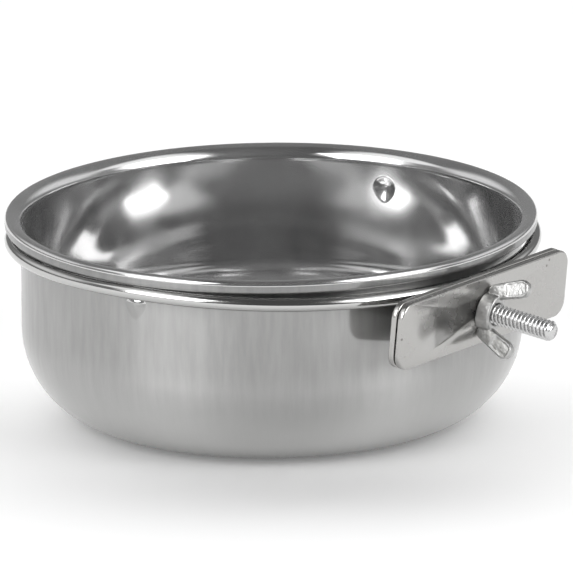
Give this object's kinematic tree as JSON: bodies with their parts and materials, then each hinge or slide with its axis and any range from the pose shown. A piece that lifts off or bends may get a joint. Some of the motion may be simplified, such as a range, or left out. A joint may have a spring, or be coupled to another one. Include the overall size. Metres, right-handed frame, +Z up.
{
  "type": "bird cage seed cup",
  "caption": "Round spun-steel seed cup that lifts out of a wire hoop, with a two-plate wing-nut clamp that grips the bars of a bird cage.",
  "frame": {"origin": "middle of the cup's flat base, on its underside", "axes": "+Z up along the cup's axis, +X toward the clamp"},
  "size_m": [0.1432, 0.1216, 0.047],
  "materials": {
    "cup_steel": "polished inside, satin outside",
    "wire_steel": "polished",
    "plate_steel": "tumbled satin",
    "bolt_steel": "bright zinc plate",
    "nut_zinc": "rough galvanised"
  },
  "bodies": {
    "holder": {"hoop": "wire_steel", "back_plate": "plate_steel", "bolt": "bolt_steel"},
    "cup": {"cup": "cup_steel"},
    "clamp": {"clamp_plate": "plate_steel"},
    "nut": {"wing_nut": "nut_zinc"}
  },
  "joints": [
    {"name": "cup_lift", "type": "slide", "parent": "holder", "child": "cup", "axis": [0, 0, 1], "range_m": [0, 0.055]},
    {"name": "clamp_slide", "type": "slide", "parent": "holder", "child": "clamp", "axis": [0.9945, 0, -0.1045], "range_m": [0, 0.01482]},
    {"name": "nut_turn", "type": "hinge", "parent": "clamp", "child": "nut", "pos_m": [0.06375, -0.0059, 0.03505], "axis": [0.9945, 0, -0.1045], "range_deg": [0, 5040]}
  ],
  "couplings": [
    {"joint": "nut_turn", "follows": "clamp_slide", "rad_per_m": 5936.9}
  ]
}
